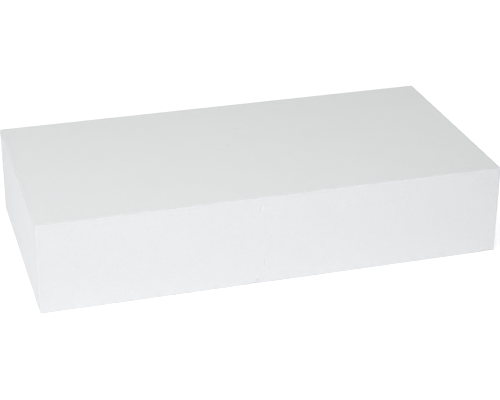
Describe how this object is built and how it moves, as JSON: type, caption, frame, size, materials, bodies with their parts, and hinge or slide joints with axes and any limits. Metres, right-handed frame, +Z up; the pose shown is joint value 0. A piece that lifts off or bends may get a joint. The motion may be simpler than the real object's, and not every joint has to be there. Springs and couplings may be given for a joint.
{
  "type": "foam insulation board",
  "caption": "Plain white rectangular board of expanded bead foam, cut square, with softened edges and small marks of handling.",
  "frame": {"origin": "middle of the underside", "axes": "+X along the board's length, +Y across its width towards the back, +Z up through its thickness"},
  "size_m": [1, 0.5, 0.2],
  "materials": {
    "bead_foam": "matt white expanded beads, hot-wire cut"
  },
  "bodies": {
    "root": {"foam_board": "bead_foam"}
  },
  "joints": []
}
